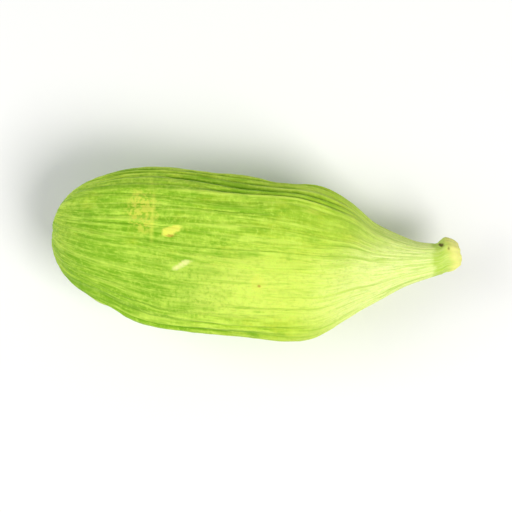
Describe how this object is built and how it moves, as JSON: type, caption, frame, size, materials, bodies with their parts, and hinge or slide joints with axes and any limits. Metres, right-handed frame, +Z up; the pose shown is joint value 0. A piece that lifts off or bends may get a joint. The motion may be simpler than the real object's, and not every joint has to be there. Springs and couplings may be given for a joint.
{
  "type": "green cardamom pod",
  "caption": "Dried green cardamom pod: a plump, ribbed, three-sided husk with a rounded base and a hollow beak, lying on its side.",
  "frame": {"origin": "middle of the pod's box, on the surface that it lies on", "axes": "+X along the pod from its rounded base to its beak, +Z up"},
  "size_m": [0.02, 0.0082, 0.0069],
  "materials": {
    "husk": "dry, fibrous, satin"
  },
  "bodies": {
    "root": {"cardamom_pod": "husk"}
  },
  "joints": []
}
